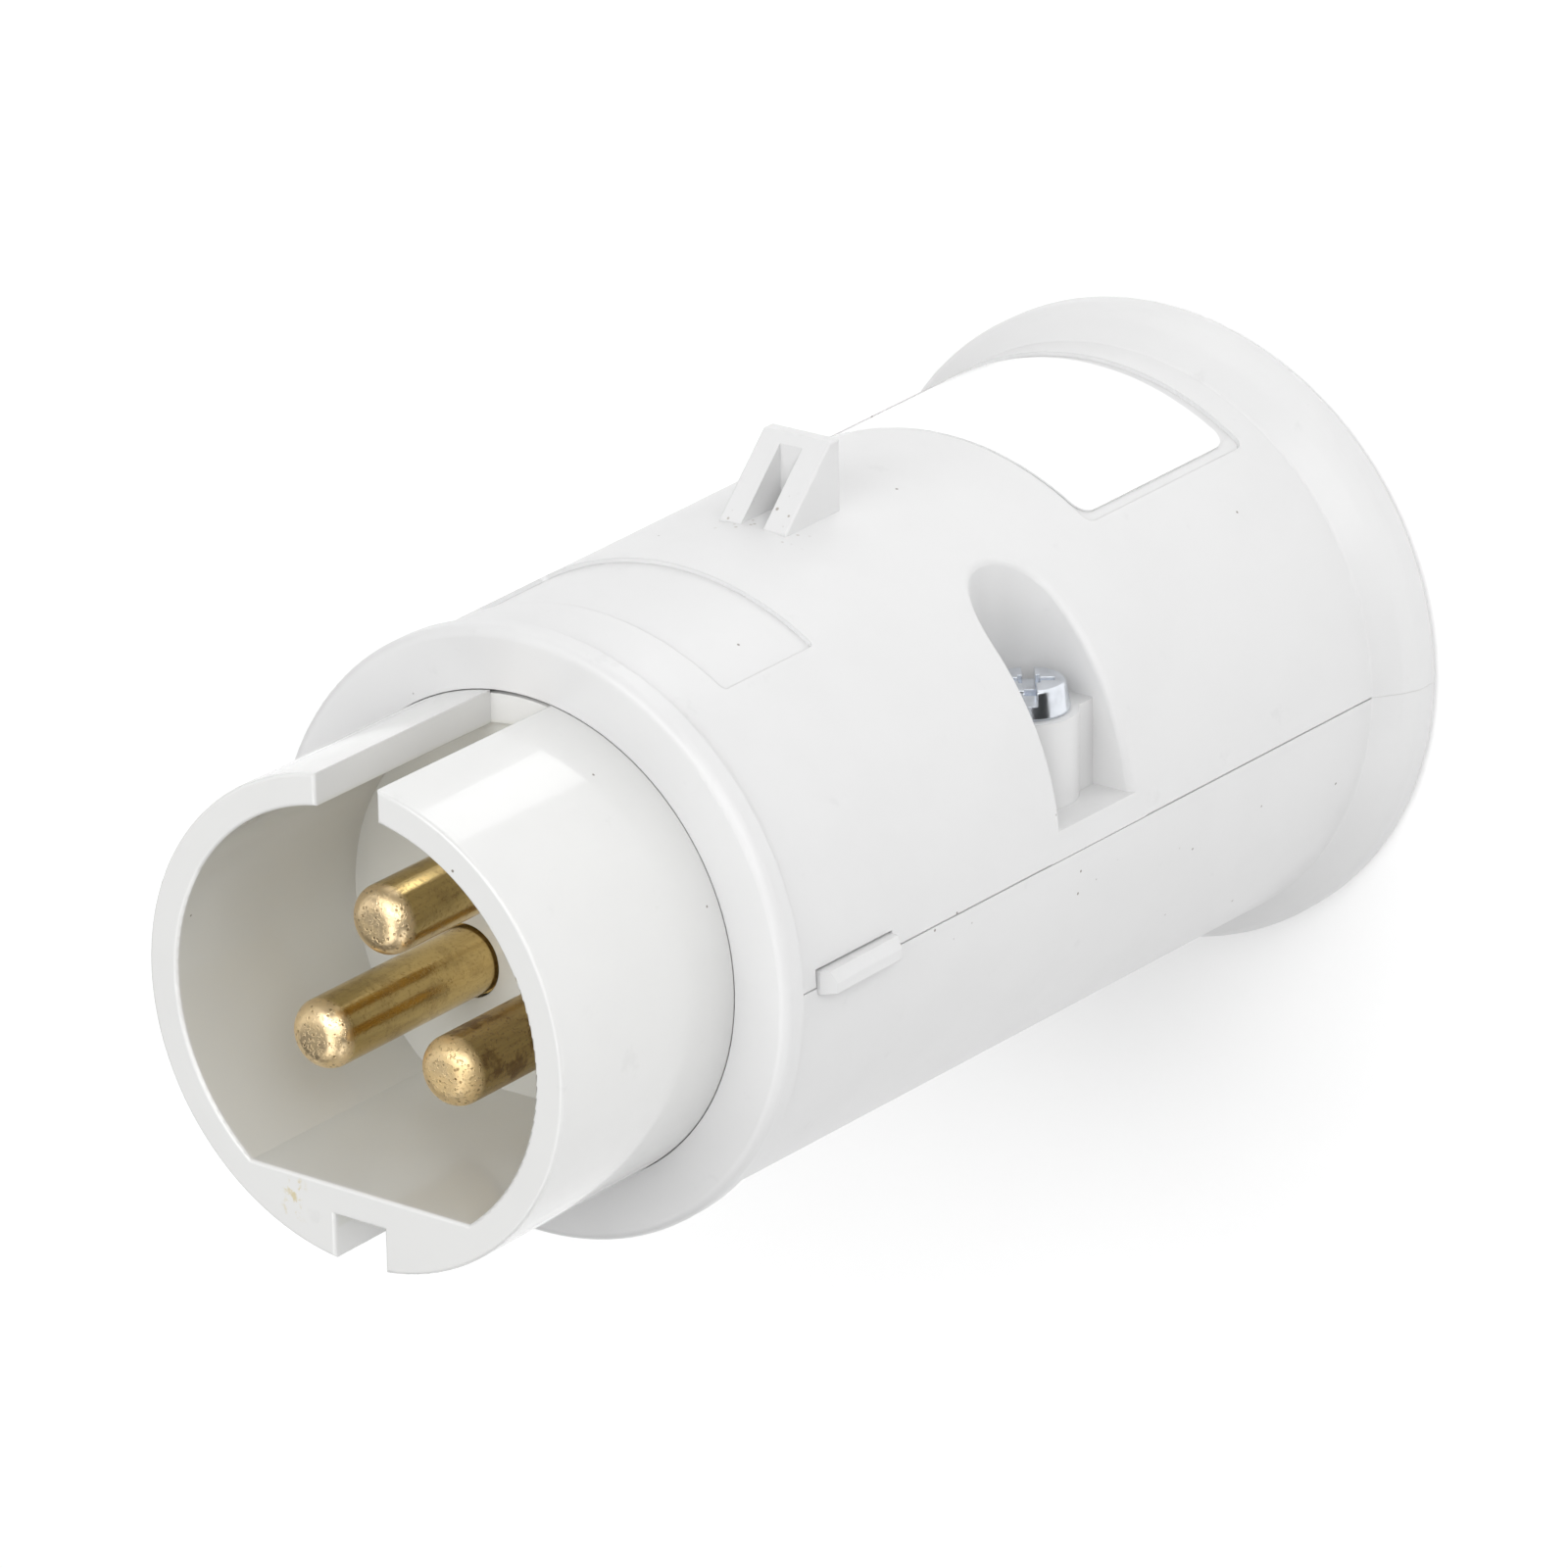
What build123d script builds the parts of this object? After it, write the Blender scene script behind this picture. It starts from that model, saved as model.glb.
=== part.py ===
"""Industrial plug with a tubular shroud, three round contacts and a split two-part body.

The plug stands on its rear end: +Z runs along its axis towards the contacts, the origin is the
centre of the cable entry, and -Y is the side with the latch lug, the shroud slot and the label.
All sizes are millimetres.
"""
import os
from math import cos, radians, sin, sqrt

from build123d import *

os.makedirs("parts", exist_ok=True)

# Body: a slightly tapered tube with a flange at the rear. Its front end steps out from the shroud
body_length = 92.0
front_step = 4.65
body_flare = 1.2
neck_height = 7.2
flange_width = 2.4
flange_slope_drop = 0.7
flange_slope_height = 4.8
flange_rim_height = 3.3
flange_shoulder_fillet = 2.4
flange_edge_fillet = 1.2
neck_fillet = 0.5
body_wall = 2.4
rear_wall = 7.0
seam_width = 0.14
seam_depth = 0.25
edge_chamfer = 0.2

# Front ring and its sleeve, which hooks onto a rib inside the body
ring_depth = 2.4
ring_lip = 0.7
ring_fillet = 0.9
sleeve_length = 5.6
sleeve_wall = 1.2
mouth_wall = 1.8
hook_rib_height = 1.2
hook_rib_depth = 0.7
hook_rib_setback = 3.8

# Contact carrier
shroud_length = 22.6
shroud_radius = 21.25
shroud_wall = 2.8
shroud_edge = 0.3
slot_width = 6.3
keyway_width = 5.2
keyway_depth = 4.0
flat_wall = 2.65
floor_recess = 0.5
carrier_base = 11.5
carrier_base_inset = 0.25
carrier_flange_width = 1.35
carrier_flange_thickness = 4.8
shelf_thickness = 2.2
seal_thickness = 1.0
key_width = 4.0
key_depth = 1.4

# Contacts
pin_radius = 3.0
pin_offset = 7.7
pin_height = 19.6
pin_tip_fillet = 2.0
pin_front_gap = 0.25
pin_root_radius = 3.2
collar_radius = 5.2
collar_length = 7.0
terminal_radius = 4.4
terminal_length = 20.0
wire_bore_radius = 2.6
wire_bore_depth = 15.0
terminal_flat = 4.0
terminal_screw_first = 9.0
terminal_screw_pitch = 6.5
terminal_slot_angles = (35.0, 75.0)

# Plate behind the carrier that holds the contact collars
retainer_thickness = 2.5
retainer_inset = 0.5
retainer_screw_offset = 14.5
retainer_slot_angle = 20.0

# Cable entry and cord clamp
cord_radius = 8.0
grommet_wall = 3.8
grommet_rim_width = 2.4
grommet_rim_height = 2.0
grommet_rim_start = 3.0
clamp_height = 17.0
clamp_width = 8.0
clamp_span = 36.4
clamp_seat = 3.0
clamp_foot = 3.0
clamp_wall = 2.6
clamp_screw_offset = 14.3
clamp_slot_angle = 30.0

# Latch lug
lug_width = 7.0
lug_slot_width = 2.3
lug_rise = 5.5
lug_length = 7.7
lug_front_height = 60.5
lug_top_length = 1.3
lug_rear_wall = 2.1
lug_root_depth = 1.6
lug_edge_fillet = 0.25

# Recesses for the front pad and the rating label, as angles to each side of -Y
pad_setback = 6.5
pad_length = 12.1
pad_half_angle = 32.5
pad_depth = 0.4
pad_corner = 0.5
label_low = 10.4
label_length = 23.2
label_half_angle = 35.5
label_depth = 0.4
label_corner = 1.0
sticker_low_margin = 1.2
sticker_high_margin = 0.6
sticker_side_angle = 2.2
sticker_thickness = 0.2
sticker_corner = 1.6

# Screw wells in the upper shell
well_height = 48.0
well_inset = 7.7
well_radius = 5.0
well_floor = 2.6
well_wall = 1.8
well_rim_fillet = 0.7
boss_radius = 4.2
boss_top = 10.4
web_reach = 3.0
lower_boss_radius = 4.6
housing_slot_angle = 52.0

# Side bars
bar_setback = 2.6
bar_length = 9.9
bar_rise = 1.3
bar_root_depth = 1.1
bar_above = 1.4
bar_below = 0.6
bar_bevel = 1.0
bar_top_bevel = 0.45
bar_top_bevel_depth = 1.1

# Screws: radius and height of the head, radius and length of the shank
housing_screw_size = (3.5, 2.6, 1.7, 20.0)
terminal_screw_size = (2.6, 1.5, 1.75, 2.2)
retainer_screw_size = (2.75, 1.8, 1.45, 8.5)
clamp_screw_size = (3.4, 2.4, 1.7, 11.0)
screw_slot_width = 1.0
screw_cross_length = 4.6
head_fillet_share = 0.25
head_slot_share = 0.5

# Clearances
running_clearance = 0.2
ring_gap = 0.05
thread_clearance = 0.05
hole_clearance = 0.3
screw_tip_room = 1.0
sticker_gap = 0.03
notch_overrun = 2.0

# Heights, radii and offsets that follow from the values above
front_radius = shroud_radius + front_step
neck_radius = front_radius + body_flare
flange_radius = neck_radius + flange_width
flange_slope_radius = flange_radius - flange_slope_drop
ring_radius = front_radius + ring_lip
keyway_floor = shroud_radius - keyway_depth
inner_flat = keyway_floor - flat_wall
carrier_base_radius = shroud_radius - carrier_base_inset
carrier_flange_radius = shroud_radius + carrier_flange_width
retainer_radius = carrier_base_radius - retainer_inset
body_front = body_length - ring_depth
floor_height = body_length - floor_recess
base_low = floor_height - carrier_base
seal_low = body_front - seal_thickness
carrier_flange_low = seal_low - carrier_flange_thickness
shelf_low = carrier_flange_low - shelf_thickness
sleeve_low = body_front - sleeve_length
sleeve_outer = front_radius - mouth_wall
sleeve_inner = sleeve_outer - sleeve_wall
mouth_radius = sleeve_outer + running_clearance
hook_rib_middle = body_front - hook_rib_setback
hook_rib_radius = mouth_radius - hook_rib_depth
cavity_front_radius = front_radius - body_wall
cavity_rear_radius = neck_radius - body_wall
inner_radius = shroud_radius - shroud_wall
lug_top = neck_radius + lug_rise
lug_rear_height = lug_front_height - lug_length
pad_high = body_front - pad_setback
pad_low = pad_high - pad_length
label_high = label_low + label_length
well_offset = neck_radius - well_inset
bar_high = body_front - bar_setback
bar_low = bar_high - bar_length
bar_reach = front_radius + bar_rise
bar_root = front_radius - bar_root_depth
pin_angles = {"top": -90.0, "right": 30.0, "left": 150.0}
retainer_screw_angles = {"right": -30.0, "left": 210.0}
sides = {"left": -1, "right": 1}


def body_radius(height):
    """Outer radius of the tapered body at a height."""
    share = (body_front - height) / (body_front - neck_height)
    return front_radius + (neck_radius - front_radius) * share


def body_outline(inset=0.0):
    """Solid of revolution inside the body's outer surface, drawn in by an inset."""
    with BuildPart() as outline:
        with BuildSketch(Plane.XZ) as profile:
            with BuildLine():
                Polyline(
                    (0, 0),
                    (flange_radius - inset, 0),
                    (flange_radius - inset, flange_rim_height),
                    (flange_slope_radius - inset, flange_slope_height),
                    (neck_radius - inset, neck_height),
                    (front_radius - inset, body_front),
                    (0, body_front),
                    close=True,
                )
            make_face()
            for height, radius in (
                (0, flange_edge_fillet),
                (flange_rim_height, flange_shoulder_fillet),
                (flange_slope_height, flange_shoulder_fillet),
                (neck_height, neck_fillet),
            ):
                corner = profile.vertices().filter_by(lambda v: abs(v.Y - height) < 0.01 and v.X > 1)
                fillet(corner, radius)
        revolve(axis=Axis.Z)
    return outline.part


def band_solid(low, high, depth, half_angle, corner, above=1.0):
    """Slab with round corners that follows the tapered surface between two heights, centred on -Y."""
    start = radians(-90 - half_angle)
    plane = Plane(origin=(0, 0, 0), x_dir=(cos(start), sin(start), 0), z_dir=(sin(start), -cos(start), 0))
    with BuildPart() as band:
        with BuildSketch(plane):
            with BuildLine():
                Polyline(
                    (body_radius(low) - depth, low),
                    (body_radius(low) + above, low),
                    (body_radius(high) + above, high),
                    (body_radius(high) - depth, high),
                    close=True,
                )
            make_face()
        revolve(axis=Axis.Z, revolution_arc=2 * half_angle)
        radial_edges = band.edges().filter_by(lambda e: e.length < above + depth + 0.01)
        fillet(radial_edges, corner)
    return band.part


def well_plan(side, grow=0.0):
    """Plan of a screw well: a round end that opens outwards. To be used inside a BuildSketch."""
    reach = flange_radius - well_offset
    with Locations((side * well_offset, well_height)):
        Circle(well_radius + grow)
    with Locations((side * (well_offset + reach / 2), well_height)):
        Rectangle(reach, 2 * (well_radius + grow))


def is_well_rim(edge):
    """Whether an edge of the upper shell lies where a well's wall meets the outer surface."""
    middle = edge.center()
    beside_well = abs(middle.Z - well_height) < 1.1 * well_radius and abs(middle.X) > well_radius
    above_floor = middle.Y < -1.2 * well_floor
    near_surface = abs(sqrt(middle.X**2 + middle.Y**2) - body_radius(well_height)) < well_wall
    return beside_well and above_floor and near_surface


def screw(seat, size, slot_angle=0.0, cross=False):
    """Pan head screw. The seat plane lies under the head and its normal points out of the head."""
    head_radius, head_height, shank_radius, shank_length = size
    with BuildPart() as body:
        with BuildSketch(seat):
            Circle(head_radius)
        extrude(amount=head_height)
        top = body.faces().sort_by(Axis(seat.origin, seat.z_dir))[-1]
        fillet(top.edges(), head_height * head_fillet_share)
        with BuildSketch(seat):
            Circle(shank_radius)
        extrude(amount=-shank_length)
        with BuildSketch(seat.offset(head_height)):
            Rectangle(2 * head_radius, screw_slot_width, rotation=slot_angle)
            if cross:
                Rectangle(screw_cross_length, screw_slot_width, rotation=slot_angle + 90)
        extrude(amount=-head_height * head_slot_share, mode=Mode.SUBTRACT)
    return body.part


def save(part, name):
    """Label one finished piece and write it to its own file."""
    part.label = name
    export_step(part, f"parts/{name}.step")


def shell_blank():
    """Whole hollow body before it is split into its two shells."""
    with BuildPart() as blank:
        add(body_outline())
        front_edge = blank.edges().filter_by(GeomType.CIRCLE).group_by(Axis.Z)[-1]
        chamfer(front_edge, edge_chamfer)
        with BuildSketch(Plane.XZ) as cavity:
            with BuildLine():
                Polyline(
                    (0, rear_wall),
                    (cavity_rear_radius, rear_wall),
                    (cavity_front_radius, shelf_low),
                    (shroud_radius + hole_clearance, shelf_low),
                    (shroud_radius + hole_clearance, carrier_flange_low),
                    (mouth_radius, carrier_flange_low),
                    (mouth_radius, body_front),
                    (0, body_front),
                    close=True,
                )
            make_face()
        revolve(axis=Axis.Z, mode=Mode.SUBTRACT)
        # Rib that the sleeve of the front ring hooks onto
        with BuildSketch(Plane.XY.offset(hook_rib_middle - hook_rib_height / 2)):
            Circle(mouth_radius + mouth_wall / 2)
            Circle(hook_rib_radius, mode=Mode.SUBTRACT)
        extrude(amount=hook_rib_height)
        # Cable entry with the groove for the rim of the grommet
        entry_radius = cord_radius + grommet_wall + running_clearance
        with BuildSketch(Plane.XY):
            Circle(entry_radius)
        extrude(amount=rear_wall, mode=Mode.SUBTRACT)
        with BuildSketch(Plane.XY.offset(grommet_rim_start)):
            Circle(entry_radius + grommet_rim_width)
        extrude(amount=grommet_rim_height, mode=Mode.SUBTRACT)
    with BuildPart() as seam:
        add(body_outline())
        add(body_outline(seam_depth), mode=Mode.SUBTRACT)
        with BuildSketch(Plane.XY.offset(neck_height)):
            Rectangle(2 * flange_radius, seam_width)
        extrude(amount=body_length, mode=Mode.INTERSECT)
    with BuildPart() as grooved:
        add(blank.part)
        add(seam.part, mode=Mode.SUBTRACT)
    return grooved.part


def inside_body(part):
    """What of a part lies inside the body's outer surface."""
    with BuildPart() as kept:
        add(part)
        add(body_outline(), mode=Mode.INTERSECT)
    return kept.part


def well_block(side):
    """Thick walls of one screw well, with its floor on the parting plane."""
    with BuildPart() as block:
        with BuildSketch(Plane.XZ):
            well_plan(side, well_wall)
        extrude(amount=flange_radius)
    return inside_body(block.part)


def lower_boss(side):
    """Column of the lower shell that takes one housing screw."""
    with BuildPart() as boss:
        with BuildSketch(Plane.XZ):
            with Locations((side * well_offset, well_height)):
                Circle(lower_boss_radius)
        extrude(amount=-flange_radius)
    return inside_body(boss.part)


def lug_block():
    """Latch lug: two fins with a sloping front, joined by a wall at the rear."""
    foot = body_radius(lug_front_height)
    root = foot - lug_root_depth
    with BuildPart() as lug:
        with BuildSketch(Plane.YZ):
            with BuildLine():
                Polyline(
                    (-root, lug_rear_height),
                    (-lug_top, lug_rear_height),
                    (-lug_top, lug_rear_height + lug_top_length),
                    (-foot, lug_front_height),
                    (-root, lug_front_height),
                    close=True,
                )
            make_face()
        extrude(amount=lug_width / 2, both=True)
        outer = lug.edges().filter_by(lambda e: e.center().Y < -foot)
        fillet(outer, lug_edge_fillet)
        slot_length = lug_front_height - lug_rear_height - lug_rear_wall
        with BuildSketch(Plane.XZ.offset(foot)):
            with Locations((0, lug_front_height - slot_length / 2)):
                Rectangle(lug_slot_width, slot_length)
        extrude(amount=lug_top, mode=Mode.SUBTRACT)
    return lug.part


def bar_block(side, grow=0.0):
    """Side bar, which straddles the parting plane. Grown by a clearance it is the notch's tool."""
    reach = bar_reach + (notch_overrun if grow else 0)
    with BuildPart() as bar:
        with BuildSketch(Plane.XZ.offset(-bar_below)):
            with Locations((side * (bar_root + reach) / 2, (bar_low + bar_high) / 2)):
                Rectangle(reach - bar_root, bar_high - bar_low + 2 * grow)
        extrude(amount=bar_below + bar_above + grow)
        if not grow:
            outer_face = bar.faces().sort_by(Axis.X)[-1 if side > 0 else 0]
            chamfer(outer_face.edges().sort_by(Axis.Z)[-1:], bar_bevel)
            outer_face = bar.faces().sort_by(Axis.X)[-1 if side > 0 else 0]
            chamfer(outer_face.edges().sort_by(Axis.Y)[:1], bar_top_bevel_depth, bar_top_bevel)
    return bar.part


def clamp_saddle():
    """Cradle of the lower shell that the cord lies in, with holes for the clamp screws."""
    with BuildPart() as saddle:
        with BuildSketch(Plane.XY.offset(clamp_height - clamp_width / 2)):
            with Locations((0, clamp_seat + flange_radius / 2)):
                Rectangle(clamp_span, flange_radius)
            Circle(cord_radius, mode=Mode.SUBTRACT)
        extrude(amount=clamp_width)
        with BuildSketch(Plane.XZ.offset(-clamp_seat)):
            for side in sides.values():
                with Locations((side * clamp_screw_offset, clamp_height)):
                    Circle(clamp_screw_size[2] + thread_clearance)
        extrude(amount=-(clamp_screw_size[3] - clamp_foot + screw_tip_room), mode=Mode.SUBTRACT)
    return inside_body(saddle.part)


def contact_pin(angle):
    """One contact: pin in front, collar in the carrier and wire terminal behind."""
    turn = radians(angle)
    spot = (pin_offset * cos(turn), pin_offset * sin(turn), base_low)
    base = Plane(spot, x_dir=(cos(turn), sin(turn), 0), z_dir=(0, 0, 1))
    with BuildPart() as pin:
        with BuildSketch(base):
            Circle(pin_radius)
        extrude(amount=body_length + pin_height - base_low)
        fillet(pin.faces().sort_by(Axis.Z)[-1].edges(), pin_tip_fillet)
        with BuildSketch(base):
            Circle(pin_root_radius)
        extrude(amount=carrier_base)
        with BuildSketch(base):
            Circle(collar_radius)
        extrude(amount=collar_length)
        with BuildSketch(base):
            Circle(terminal_radius)
            with Locations((terminal_flat + terminal_radius / 2, 0)):
                Rectangle(terminal_radius, 2 * terminal_radius, mode=Mode.SUBTRACT)
        extrude(amount=-terminal_length)
        with BuildSketch(base.offset(-terminal_length)):
            Circle(wire_bore_radius)
        extrude(amount=wire_bore_depth, mode=Mode.SUBTRACT)
        for place in range(2):
            with BuildSketch(terminal_screw_seat(angle, place)):
                Circle(terminal_screw_size[2] + thread_clearance)
            extrude(amount=-terminal_flat, mode=Mode.SUBTRACT)
    return pin.part


def terminal_screw_seat(angle, place):
    """Plane of the flat under the head of one terminal screw."""
    turn = radians(angle)
    reach = pin_offset + terminal_flat
    height = base_low - terminal_screw_first - place * terminal_screw_pitch
    spot = (reach * cos(turn), reach * sin(turn), height)
    return Plane(spot, x_dir=(0, 0, 1), z_dir=(cos(turn), sin(turn), 0))


blank = shell_blank()
well_walls = [well_block(side) for side in sides.values()]
boss_columns = [lower_boss(side) for side in sides.values()]
bars = [bar_block(side) for side in sides.values()]
bar_notches = [bar_block(side, running_clearance) for side in sides.values()]
pad_tool = band_solid(pad_low, pad_high, pad_depth, pad_half_angle, pad_corner)
label_tool = band_solid(label_low, label_high, label_depth, label_half_angle, label_corner)

with BuildPart() as upper_shell:
    add(blank)
    split(bisect_by=Plane.XZ, keep=Keep.TOP)
    add(well_walls)
    add(lug_block())
    add(pad_tool, mode=Mode.SUBTRACT)
    add(label_tool, mode=Mode.SUBTRACT)
    add(bar_notches, mode=Mode.SUBTRACT)
    # Key that stops the carrier from turning
    with BuildSketch(Plane.XY.offset(shelf_low)):
        with Locations((0, -shroud_radius)):
            Rectangle(key_width - 2 * running_clearance, 2 * (key_depth - running_clearance))
    extrude(amount=shelf_thickness)
    with BuildSketch(Plane.XZ.offset(well_floor)):
        for side in sides.values():
            well_plan(side)
    extrude(amount=flange_radius, mode=Mode.SUBTRACT)
    fillet(upper_shell.edges().filter_by(is_well_rim), well_rim_fillet)
    for side in sides.values():
        with BuildSketch(Plane.XZ.offset(well_floor)):
            with Locations((side * well_offset, well_height)):
                Circle(boss_radius)
            with Locations((side * (well_offset - well_radius / 2), well_height)):
                Rectangle(well_radius, 2 * boss_radius)
            # Web that ties the boss to the rear wall of its well
            web_middle = side * (well_offset + (web_reach - well_radius) / 2)
            with Locations((web_middle, well_height - well_radius / 2)):
                Rectangle(web_reach + well_radius, well_radius)
        extrude(amount=boss_top - well_floor)
        with BuildSketch(Plane.XZ):
            with Locations((side * well_offset, well_height)):
                Circle(housing_screw_size[2] + hole_clearance)
        extrude(amount=boss_top, mode=Mode.SUBTRACT)

with BuildPart() as lower_shell:
    add(blank)
    split(bisect_by=Plane.XZ, keep=Keep.BOTTOM)
    add(boss_columns)
    add(bars)
    with BuildSketch(Plane.XZ):
        for side in sides.values():
            with Locations((side * well_offset, well_height)):
                Circle(housing_screw_size[2] + thread_clearance)
    extrude(amount=-(housing_screw_size[3] - boss_top + screw_tip_room), mode=Mode.SUBTRACT)
    add(clamp_saddle())

save(upper_shell.part, "upper_shell")
save(lower_shell.part, "lower_shell")

with BuildPart() as front_ring:
    with BuildSketch(Plane.XY.offset(body_front)):
        Circle(ring_radius)
    extrude(amount=ring_depth)
    fillet(front_ring.faces().sort_by(Axis.Z)[-1].edges(), ring_fillet)
    chamfer(front_ring.faces().sort_by(Axis.Z)[0].edges(), edge_chamfer)
    with BuildSketch(Plane.XY.offset(sleeve_low)):
        Circle(sleeve_outer)
    extrude(amount=sleeve_length)
    with BuildSketch(Plane.XY.offset(sleeve_low)):
        Circle(sleeve_inner)
    extrude(amount=sleeve_length, mode=Mode.SUBTRACT)
    with BuildSketch(Plane.XY.offset(sleeve_low)):
        Circle(shroud_radius + ring_gap)
    extrude(amount=sleeve_length + ring_depth, mode=Mode.SUBTRACT)
    # Groove for the hook rib of the body
    groove_height = hook_rib_height + 2 * running_clearance
    with BuildSketch(Plane.XY.offset(hook_rib_middle - groove_height / 2)):
        Circle(front_radius)
        Circle(hook_rib_radius - running_clearance, mode=Mode.SUBTRACT)
    extrude(amount=groove_height, mode=Mode.SUBTRACT)
save(front_ring.part, "front_ring")

with BuildPart() as shroud_carrier:
    with BuildSketch(Plane.XY.offset(base_low)):
        Circle(carrier_base_radius)
    extrude(amount=body_length - base_low)
    with BuildSketch(Plane.XY.offset(body_length)):
        Circle(shroud_radius)
    extrude(amount=shroud_length)
    with BuildSketch(Plane.XY.offset(floor_height)):
        Circle(inner_radius)
        with Locations((0, inner_flat + shroud_radius / 2)):
            Rectangle(2 * shroud_radius, shroud_radius, mode=Mode.SUBTRACT)
    extrude(amount=shroud_length + floor_recess, mode=Mode.SUBTRACT)
    with BuildSketch(Plane.XY.offset(body_length)):
        with Locations((0, keyway_floor + shroud_radius / 2)):
            Rectangle(keyway_width, shroud_radius)
        with Locations((0, -shroud_radius)):
            Rectangle(slot_width, 2 * (shroud_radius - inner_flat))
    extrude(amount=shroud_length, mode=Mode.SUBTRACT)
    fillet(shroud_carrier.faces().sort_by(Axis.Z)[-1].edges(), shroud_edge)
    with BuildSketch(Plane.XY.offset(carrier_flange_low)):
        Circle(carrier_flange_radius)
    extrude(amount=carrier_flange_thickness)
    # Notch for the key of the upper shell
    with BuildSketch(Plane.XY.offset(base_low)):
        with Locations((0, -shroud_radius)):
            Rectangle(key_width, 2 * key_depth)
    extrude(amount=carrier_flange_low - base_low, mode=Mode.SUBTRACT)
    with BuildSketch(Plane.XY.offset(base_low)):
        for angle in pin_angles.values():
            with PolarLocations(pin_offset, 1, angle):
                Circle(pin_radius + pin_front_gap)
    extrude(amount=carrier_base, mode=Mode.SUBTRACT)
    with BuildSketch(Plane.XY.offset(base_low)):
        for angle in pin_angles.values():
            with PolarLocations(pin_offset, 1, angle):
                Circle(collar_radius + running_clearance)
    extrude(amount=collar_length, mode=Mode.SUBTRACT)
    with BuildSketch(Plane.XY.offset(base_low)):
        for angle in retainer_screw_angles.values():
            with PolarLocations(retainer_screw_offset, 1, angle):
                Circle(retainer_screw_size[2] + thread_clearance)
    extrude(amount=retainer_screw_size[3] - retainer_thickness + screw_tip_room, mode=Mode.SUBTRACT)
save(shroud_carrier.part, "shroud_carrier")

with BuildPart() as carrier_seal:
    with BuildSketch(Plane.XY.offset(seal_low)):
        Circle(carrier_flange_radius)
        Circle(shroud_radius + running_clearance, mode=Mode.SUBTRACT)
    extrude(amount=seal_thickness)
save(carrier_seal.part, "carrier_seal")

for name, angle in pin_angles.items():
    save(contact_pin(angle), f"contact_pin_{name}")
    for place in range(2):
        label = f"terminal_screw_{name}_{place + 1}"
        seat = terminal_screw_seat(angle, place)
        save(screw(seat, terminal_screw_size, terminal_slot_angles[place]), label)

retainer_low = base_low - retainer_thickness
with BuildPart() as pin_retainer:
    with BuildSketch(Plane.XY.offset(retainer_low)):
        Circle(retainer_radius)
        for angle in pin_angles.values():
            with PolarLocations(pin_offset, 1, angle):
                Circle(terminal_radius + running_clearance, mode=Mode.SUBTRACT)
        for angle in retainer_screw_angles.values():
            with PolarLocations(retainer_screw_offset, 1, angle):
                Circle(retainer_screw_size[2] + hole_clearance, mode=Mode.SUBTRACT)
    extrude(amount=retainer_thickness)
save(pin_retainer.part, "pin_retainer")

for name, angle in retainer_screw_angles.items():
    turn = radians(angle)
    spot = (retainer_screw_offset * cos(turn), retainer_screw_offset * sin(turn), retainer_low)
    seat = Plane(spot, z_dir=(0, 0, -1))
    save(screw(seat, retainer_screw_size, retainer_slot_angle), f"retainer_screw_{name}")

with BuildPart() as cord_grommet:
    with BuildSketch(Plane.XY):
        Circle(cord_radius + grommet_wall)
    extrude(amount=rear_wall)
    chamfer(cord_grommet.faces().sort_by(Axis.Z)[-1].edges(), grommet_wall / 4)
    with BuildSketch(Plane.XY.offset(grommet_rim_start)):
        Circle(cord_radius + grommet_wall + grommet_rim_width - running_clearance)
    extrude(amount=grommet_rim_height)
    with BuildSketch(Plane.XY):
        Circle(cord_radius)
    extrude(amount=rear_wall, mode=Mode.SUBTRACT)
save(cord_grommet.part, "cord_grommet")

with BuildPart() as cord_clamp:
    with BuildSketch(Plane.XY.offset(clamp_height - clamp_width / 2)):
        Circle(cord_radius + clamp_wall)
        with Locations((0, clamp_seat - clamp_foot / 2)):
            Rectangle(clamp_span, clamp_foot)
        with Locations((0, clamp_seat + cord_radius)):
            Rectangle(clamp_span, 2 * cord_radius, mode=Mode.SUBTRACT)
        Circle(cord_radius, mode=Mode.SUBTRACT)
    extrude(amount=clamp_width)
    with BuildSketch(Plane.XZ.offset(-clamp_seat)):
        for side in sides.values():
            with Locations((side * clamp_screw_offset, clamp_height)):
                Circle(clamp_screw_size[2] + hole_clearance)
    extrude(amount=clamp_foot, mode=Mode.SUBTRACT)
save(cord_clamp.part, "cord_clamp")

for name, side in sides.items():
    spot = (side * clamp_screw_offset, clamp_seat - clamp_foot, clamp_height)
    seat = Plane(spot, x_dir=(1, 0, 0), z_dir=(0, -1, 0))
    save(screw(seat, clamp_screw_size, clamp_slot_angle * side), f"cord_clamp_screw_{name}")
    spot = (side * well_offset, -boss_top, well_height)
    seat = Plane(spot, x_dir=(1, 0, 0), z_dir=(0, -1, 0))
    save(screw(seat, housing_screw_size, housing_slot_angle * side, cross=True), f"housing_screw_{name}")

sticker_floor = label_depth - sticker_gap
rating_label = band_solid(
    label_low + sticker_low_margin,
    label_high - sticker_high_margin,
    sticker_floor,
    label_half_angle - sticker_side_angle,
    sticker_corner,
    sticker_thickness - sticker_floor,
)
save(rating_label, "rating_label")
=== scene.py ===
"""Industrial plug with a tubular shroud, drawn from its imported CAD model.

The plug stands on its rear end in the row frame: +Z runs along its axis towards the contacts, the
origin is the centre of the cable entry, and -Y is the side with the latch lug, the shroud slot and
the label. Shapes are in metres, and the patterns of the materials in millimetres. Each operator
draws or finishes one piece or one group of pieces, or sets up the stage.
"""

from math import cos, pi, radians, sin

import bmesh
import bpy
from mathutils import Matrix, Vector


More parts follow.
